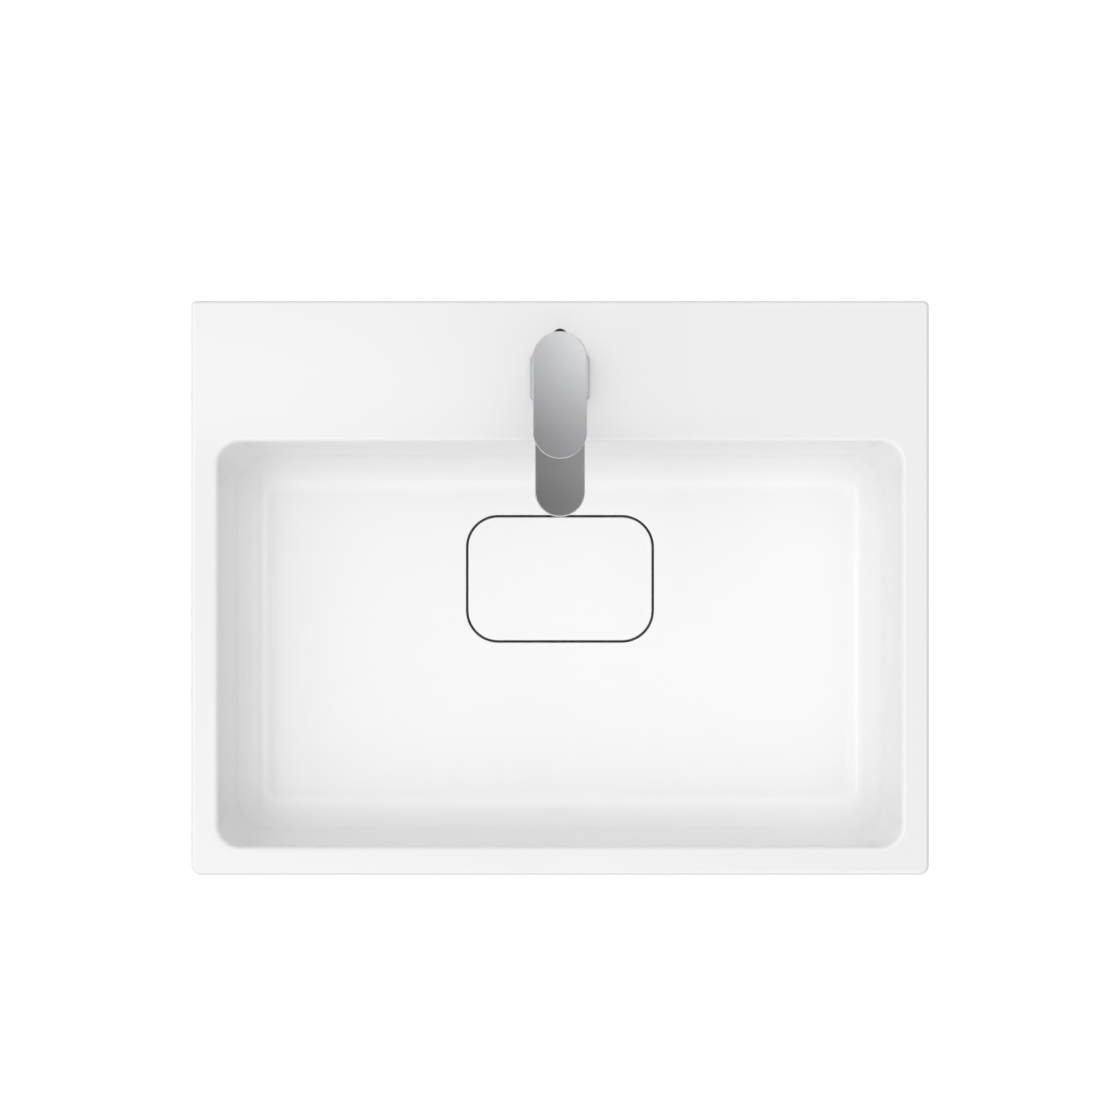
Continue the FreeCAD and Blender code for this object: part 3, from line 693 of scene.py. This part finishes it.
def shapeCover():
    size = cover
    waste = basin["wasteY"]
    plan = (size["halfX"], size["halfY"], size["corner"], waste)
    outlines = [roundedOutline(*plan, size["foot"]), roundedOutline(*plan, size["top"])]
    piece = stackOutlines("coverPlate", outlines, 16)
    startEdit(piece)
    for outline, offset in zip(outlines, (size["footEdge"], size["edge"])):
        pick("EDGE", loopThrough(outline))
        bevelPicked(offset * mm, 5)
    endEdit()
    top = size["foot"] + size["legRoot"]
    leg = addRod("leg", size["legRadius"], (0, waste, size["legFoot"]), (0, waste, top), 48)
    roundEdges(leg, atHeight(size["legFoot"]), size["legEdge"])
    for x in (-1, 1):
        for y in (-1, 1):
            combine(piece, copyMoved(leg, (x * size["legX"], y * size["legY"], 0)), "UNION")
    bpy.data.objects.remove(leg)
    finishPiece(piece, "glazed_ceramic", "cover", "drain_cover")


# mixer foot

barSides = 120  # of the foot and the body
footPlate = {"radius": 28.6, "flatTurn": 33, "low": 61.5, "top": 68, "edge": 1.6, "hole": (14.85, 50, 80)}


def cutFlats(piece, size):
    # each flat passes through corners of the bar, so that no edge is left too short to round
    half = size["radius"] * math.cos(math.radians(size["flatTurn"]))
    for side in (-1, 1):
        trim(piece, (side * half, 0, 0), (side, 0, 0))


def shapeFoot():
    size = footPlate
    tap = basin["tapY"]
    piece = addRod("mixerFoot", size["radius"], (0, tap, size["low"]), (0, tap, size["top"]), barSides)
    cutFlats(piece, size)
    roundEdges(piece, atHeight(size["top"]), size["edge"], 6)
    bore(piece, "hole", 0, tap, size["hole"])
    finishPiece(piece, "chrome", "basin", "base_plate")


# mixer body with its spout

mixer = {
    "radius": 23, "flatTurn": 27, "low": 68, "top": 160, "topEdge": 0.5,
    "spigot": 14.8, "spigotFoot": 62, "spigotTop": 72,
    "bore": (17.6, 120, 170), "recess": (18.7, 154, 170), "jetSeat": (12.05, 130, 149),
    "studY": -54.5, "studHole": (4.05, 55, 74), "inletX": 7.5, "inletY": -68, "inletHole": (4.5, 55, 74),
    "spoutHalf": 19.7, "tipY": -176.6, "topAtBody": 158, "topAtTip": 155, "tipFoot": 139, "flatEnd": -137.2,
    "spoutCorner": 4, "spoutEdge": 0.8, "root": 100, "blankTop": 170,
    "endFlat": 0.01,  # left between the two roundings of the tip
    "arch": 57.162, "archZ": 81.838, "underLow": 90, "beyondTip": 10, "beside": 5,
}


def shapeSpout():
    size = mixer
    tap, tip = basin["tapY"], size["tipY"]
    plan = (size["spoutHalf"], (tap - tip) / 2, size["spoutCorner"], (tap + tip) / 2)
    front = size["spoutHalf"] - size["endFlat"]
    outlines = [roundedOutline(*plan, height, front) for height in (size["root"], size["blankTop"])]
    piece = stackOutlines("spout", outlines, 28)
    drop = size["topAtBody"] - size["topAtTip"]
    trim(piece, (0, tap, size["topAtBody"]), (0, -drop, tap - tip))
    half = size["spoutHalf"] + size["beside"]
    bend, archZ = size["flatEnd"], size["archZ"]
    beyond = tip - size["beyondTip"]
    under = addBox("under", (-half, beyond, size["underLow"]), (half, bend, size["tipFoot"]))
    combine(piece, under, "DIFFERENCE")
    arch = addRod("arch", size["arch"], (-half, bend, archZ), (half, bend, archZ), 256)
    combine(piece, arch, "DIFFERENCE")

    def onTop(v):
        share = (tap * mm - v.co.y) / ((tap - tip) * mm)
        return near(v.co.z, (size["topAtBody"] - drop * share) * mm)
    roundEdges(piece, onTop, size["spoutEdge"], 5)
    return piece


def shapeMixer():
    size = mixer
    tap = basin["tapY"]
    piece = addRod("mixerBody", size["radius"], (0, tap, size["low"]), (0, tap, size["top"]), barSides)
    cutFlats(piece, size)
    roundEdges(piece, atHeight(size["top"]), size["topEdge"])
    combine(piece, shapeSpout(), "UNION")
    spigot = addRod("spigot", size["spigot"], (0, tap, size["spigotFoot"]), (0, tap, size["spigotTop"]))
    combine(piece, spigot, "UNION")
    bore(piece, "cartridgeBore", 0, tap, size["bore"])
    bore(piece, "nutRecess", 0, tap, size["recess"])
    bore(piece, "jetSeat", 0, size["tipY"] + size["spoutHalf"], size["jetSeat"])
    bore(piece, "studHole", 0, size["studY"], size["studHole"], 48)
    for x in (-size["inletX"], size["inletX"]):
        bore(piece, "inlet", x, size["inletY"], size["inletHole"], 48)
    finishPiece(piece, "chrome", "basin", "mixer_body")


# lever

lever = {
    "half": 21, "rear": -33, "front": -132, "top": 195, "footRear": 182, "footFront": 188, "blankFoot": 178,
    "edge": 0.6, "footEdge": 0.4,
    "endFlat": 0.05,  # left between the two roundings of each end
    "hub": 17, "hubFoot": 173, "hubTop": 189, "hubEdge": 0.6,
    "spindle": 4.05, "spindleFoot": 160, "spindleTop": 191.05,
    "screwZ": 188.5, "screw": 2.5, "plugHole": 4.8, "holeEnd": -20,
}


def shapeLever():
    size = lever
    tap, rear, front = basin["tapY"], size["rear"], size["front"]
    plan = (size["half"], (rear - front) / 2, size["half"] - size["endFlat"], (rear + front) / 2)
    outlines = [roundedOutline(*plan, size["blankFoot"]), roundedOutline(*plan, size["top"])]
    piece = stackOutlines("leverPlate", outlines, 28)
    rise = size["footFront"] - size["footRear"]
    trim(piece, (0, rear, size["footRear"]), (0, -rise, front - rear))
    roundEdges(piece, atHeight(size["top"]), size["edge"], 5)
    roundEdges(piece, lambda v: v.co.z < size["hubTop"] * mm, size["footEdge"])
    hub = addRod("hub", size["hub"], (0, tap, size["hubFoot"]), (0, tap, size["hubTop"]), 128)
    roundEdges(hub, atHeight(size["hubFoot"]), size["hubEdge"])
    combine(piece, hub, "UNION")
    half = size["spindle"]
    low, high = (-half, tap - half, size["spindleFoot"]), (half, tap + half, size["spindleTop"])
    combine(piece, addBox("spindleHole", low, high), "DIFFERENCE")
    height, end = size["screwZ"], size["holeEnd"]
    combine(piece, addRod("screwHole", size["screw"], (0, tap, height), (0, end, height), 48), "DIFFERENCE")
    seat = addRod("plugHole", size["plugHole"], (0, plug["inner"], height), (0, end, height), 64)
    combine(piece, seat, "DIFFERENCE")
    finishPiece(piece, "chrome", "lever", "lever")


# plug over the lever's screw

plug = {"radius": 4.75, "inner": -40.5, "outer": -30.5, "dome": 5.76}


def shapePlug():
    size = plug
    height = lever["screwZ"]
    piece = addRod("leverPlug", size["radius"], (0, size["inner"], height), (0, size["outer"], height), 64)
    combine(piece, addBall("dome", size["dome"], (0, size["outer"] - size["dome"], height)), "INTERSECT")
    finishPiece(piece, "black_plastic", "lever", "lever_plug")


# domed cap between body and lever

cap = {
    "radius": 23, "middle": 148, "low": 160.3, "pocket": (15.5, 150, 163.4),
    "slotHalf": 4.6, "slotFront": -67.6, "slotRear": -47.86, "slotLow": 150, "slotHigh": 180,
}


def shapeCap():
    size = cap
    tap, half = basin["tapY"], size["slotHalf"]
    piece = addBall("swivelDome", size["radius"], (0, tap, size["middle"]), 128)
    trim(piece, (0, 0, size["low"]), (0, 0, -1))
    bore(piece, "pocket", 0, tap, size["pocket"])
    low, high = (-half, size["slotFront"], size["slotLow"]), (half, size["slotRear"], size["slotHigh"])
    combine(piece, addBox("slot", low, high), "DIFFERENCE")
    finishPiece(piece, "chrome", "swivel", "swivel_cap")


for shape in (shapeBasin, shapeCover, shapeFoot, shapeMixer, shapeLever, shapePlug, shapeCap):
    shape()
    print(shape.__name__, "done")


# studio, in metres

studio = {
    "cameraHeight": 3.10, "cameraY": -0.2107, "lens": 120.25, "sensor": 36,
    "floorHeight": -0.79, "floorY": -0.23, "floorSize": 4.4, "floorPaint": 0.22, "floorLift": 0.90,
    "skyPaint": 0.8, "horizon": 0.20, "zenith": 1.83, "fromLeft": 0.42, "fromFront": 0.17,
    "leastLight": 0.05, "fromBelow": 0.18, "belowFade": 12,
    "stripPower": 2.4, "stripSize": (2.6, 0.07),
    "stripPlace": (-1.3, -0.25, 2.2), "stripTarget": (0, -0.25, 0),
    "rightFill": 0.038, "leftFill": 0.009, "fillSpread": 110, "fillSize": 0.008,
    "fillPlace": (0.035, -0.085, 0.14), "fillTarget": (0.06, -0.06, 0.06),
}

white = (1, 1, 1, 1)

# what metal and glaze mirror: pairs of a place and the strength there
room = {
    "wall": [  # by how far up the sight goes
        (-0.50, 1.0), (-0.16, 1.0), (-0.10, 0.30), (0.03, 0.20), (0.13, 0.28), (0.20, 0.80),
        (0.45, 0.95), (0.70, 0.80), (0.76, 1.3), (0.93, 1.5), (0.975, 0.8), (1.0, 0.6),
    ],
    "screens": [  # by how far to the right it goes
        (-1.0, 1.0), (-0.93, 0.35), (-0.80, 0.35), (-0.74, 1.0),
        (0.60, 1.0), (0.66, 0.25), (0.80, 0.25), (0.86, 1.0),
    ],
    "overMixer": [  # by its slope from upright towards the wall
        (-0.090, 1.0), (-0.060, 0.26), (-0.037, 0.30), (-0.029, 0.39), (0.028, 0.46),
        (0.035, 0.545), (0.0455, 0.76), (0.059, 1.04), (0.072, 1.2), (0.20, 1.2),
    ],
    "overBasin": [  # the same, on both sides of the mixer
        (-0.085, 0.90), (-0.068, 0.50), (-0.045, 0.50), (-0.020, 0.30), (0.0, 0.10),
        (0.026, 0.15), (0.038, 0.85), (0.052, 0.90), (0.066, 0.50), (0.20, 0.50),
    ],
    "leftToRight": [  # by its slope from upright to the right
        (-0.10, 1.5), (-0.03, 1.05), (0.03, 0.75), (0.07, 0.25), (0.10, 0.0), (0.14, 0.0), (0.20, 0.8),
    ],
    "leastRise": 0.02, "mixerHalf": 0.012, "mixerLean": 28, "mixerFade": 200,
    "ceilingX": 2.2, "ceilingY": 4, "ceilingFade": 6,
}


def directSight(tree):
    # one for what the camera sees, straight or in metal and glaze, and nought past a matt surface
    kinds = ("Is Camera Ray", "Is Glossy Ray", "Is Transmission Ray")
    camera, glossy, through = (tree.node("ShaderNodeLightPath", output=kind) for kind in kinds)
    scattered = tree.node("ShaderNodeLightPath", output="Diffuse Depth")
    return (camera + glossy + through - scattered).clamped()


def makeFloor():
    bpy.ops.object.select_all(action="DESELECT")
    place = (0, studio["floorY"], studio["floorHeight"])
    bpy.ops.mesh.primitive_plane_add(size=studio["floorSize"], location=place)
    floor = bpy.context.object
    floor.name = "studioFloor"
    material, tree = newMaterial("studioFloorPaint")
    paint = tree.node("ShaderNodeBsdfDiffuse", {}, {"Color": (*[studio["floorPaint"]] * 3, 1)})
    lift = tree.node("ShaderNodeEmission", {}, {"Color": white, "Strength": studio["floorLift"]})
    lifted = tree.node("ShaderNodeAddShader", {}, {0: paint, 1: lift})
    above = tree.mixShaders(directSight(tree), paint, lifted)
    below = tree.node("ShaderNodeNewGeometry", output="Backfacing")
    clear = tree.node("ShaderNodeBsdfTransparent")
    finishMaterial(tree, tree.mixShaders(below, above, clear))
    floor.data.materials.append(material)


def softLight(tree, x, y, z):
    # brighter overhead, to the left and in front, with a little from below
    soft = z.clamped() * (studio["zenith"] - studio["horizon"]) + studio["horizon"]
    soft = (soft - x * studio["fromLeft"] - y * studio["fromFront"]).atLeast(studio["leastLight"])
    soft = soft + (z * -studio["belowFade"]).clamped() * studio["fromBelow"]
    return tree.background((*[studio["skyPaint"]] * 3, 1), soft)


def mirroredRoom(tree, x, y, z):
    # white walls with dark screens, and a ceiling in two parts, over the mixer and over the basin
    walls = tree.background(tree.ramp(z, room["wall"]), tree.ramp(x, room["screens"]))
    rise = z.atLeast(room["leastRise"])
    slopeX = x.apply("DIVIDE", rise)
    slopeY = y.apply("DIVIDE", rise)
    half = room["mixerHalf"]
    lean = slopeX.atMost(half).atLeast(-half) * room["mixerLean"] + 1
    overMixer = tree.background(tree.ramp(slopeY, room["overMixer"]), lean)
    across = tree.ramp(slopeX, room["leftToRight"])
    overBasin = tree.background(tree.ramp(slopeY, room["overBasin"]), across)
    awayX, awayY = slopeX.apply("ABSOLUTE"), slopeY.apply("ABSOLUTE")
    beside = ((awayX - half) * room["mixerFade"]).clamped()
    ceiling = tree.mixShaders(beside, overMixer, overBasin)
    overhead = (1 - awayX * room["ceilingX"]).clamped() * (1 - awayY * room["ceilingY"]).clamped()
    return tree.mixShaders((overhead * room["ceilingFade"]).clamped(), walls, ceiling)


def makeWorld():
    world = bpy.data.worlds.new("studioSky")
    bpy.context.scene.world = world
    world.use_nodes = True
    tree = Tree(world.node_tree)
    toward = tree.node("ShaderNodeTexCoord", output="Generated")
    x, y, z = (tree.node("ShaderNodeSeparateXYZ", {}, {"Vector": toward}, axis) for axis in "XYZ")
    glossy = tree.node("ShaderNodeLightPath", output="Is Glossy Ray")
    shown = tree.mixShaders(glossy, tree.background(white, 1), mirroredRoom(tree, x, y, z))
    shader = tree.mixShaders(directSight(tree), softLight(tree, x, y, z), shown)
    tree.node("ShaderNodeOutputWorld", {}, {"Surface": shader})


def addLamp(name, kind, power, place, target):
    data = bpy.data.lights.new(name, kind)
    data.energy = power
    lamp = bpy.data.objects.new(name, data)
    bpy.context.scene.collection.objects.link(lamp)
    lamp.location = place
    lamp.rotation_euler = (Vector(target) - Vector(place)).to_track_quat("-Z", "Y").to_euler()
    return lamp


def makeStrip():
    lamp = addLamp("leftStrip", "AREA", studio["stripPower"], studio["stripPlace"], studio["stripTarget"])
    lamp.data.shape = "RECTANGLE"
    lamp.data.size, lamp.data.size_y = studio["stripSize"]


def makeDeckFills():
    # a small lamp on each side of the mixer opens up its shadow on the deck, and nothing mirrors it
    for name, side in (("rightFill", 1), ("leftFill", -1)):
        place, target = ((side * x, y, z) for x, y, z in (studio["fillPlace"], studio["fillTarget"]))
        lamp = addLamp(name, "SPOT", studio[name], place, target)
        lamp.data.spot_size = math.radians(studio["fillSpread"])
        lamp.data.spot_blend = 1
        lamp.data.shadow_soft_size = studio["fillSize"]
        lamp.visible_camera = False
        lamp.visible_glossy = False


def makeCamera():
    data = bpy.data.cameras.new("planCamera")
    data.lens = studio["lens"]
    data.sensor_width = studio["sensor"]
    camera = bpy.data.objects.new("planCamera", data)
    bpy.context.scene.collection.objects.link(camera)
    camera.location = (0, studio["cameraY"], studio["cameraHeight"])
    bpy.context.scene.camera = camera


makeFloor()
makeWorld()
makeStrip()
makeDeckFills()
makeCamera()
bpy.context.scene.view_settings.view_transform = "Standard"
print("studio made")
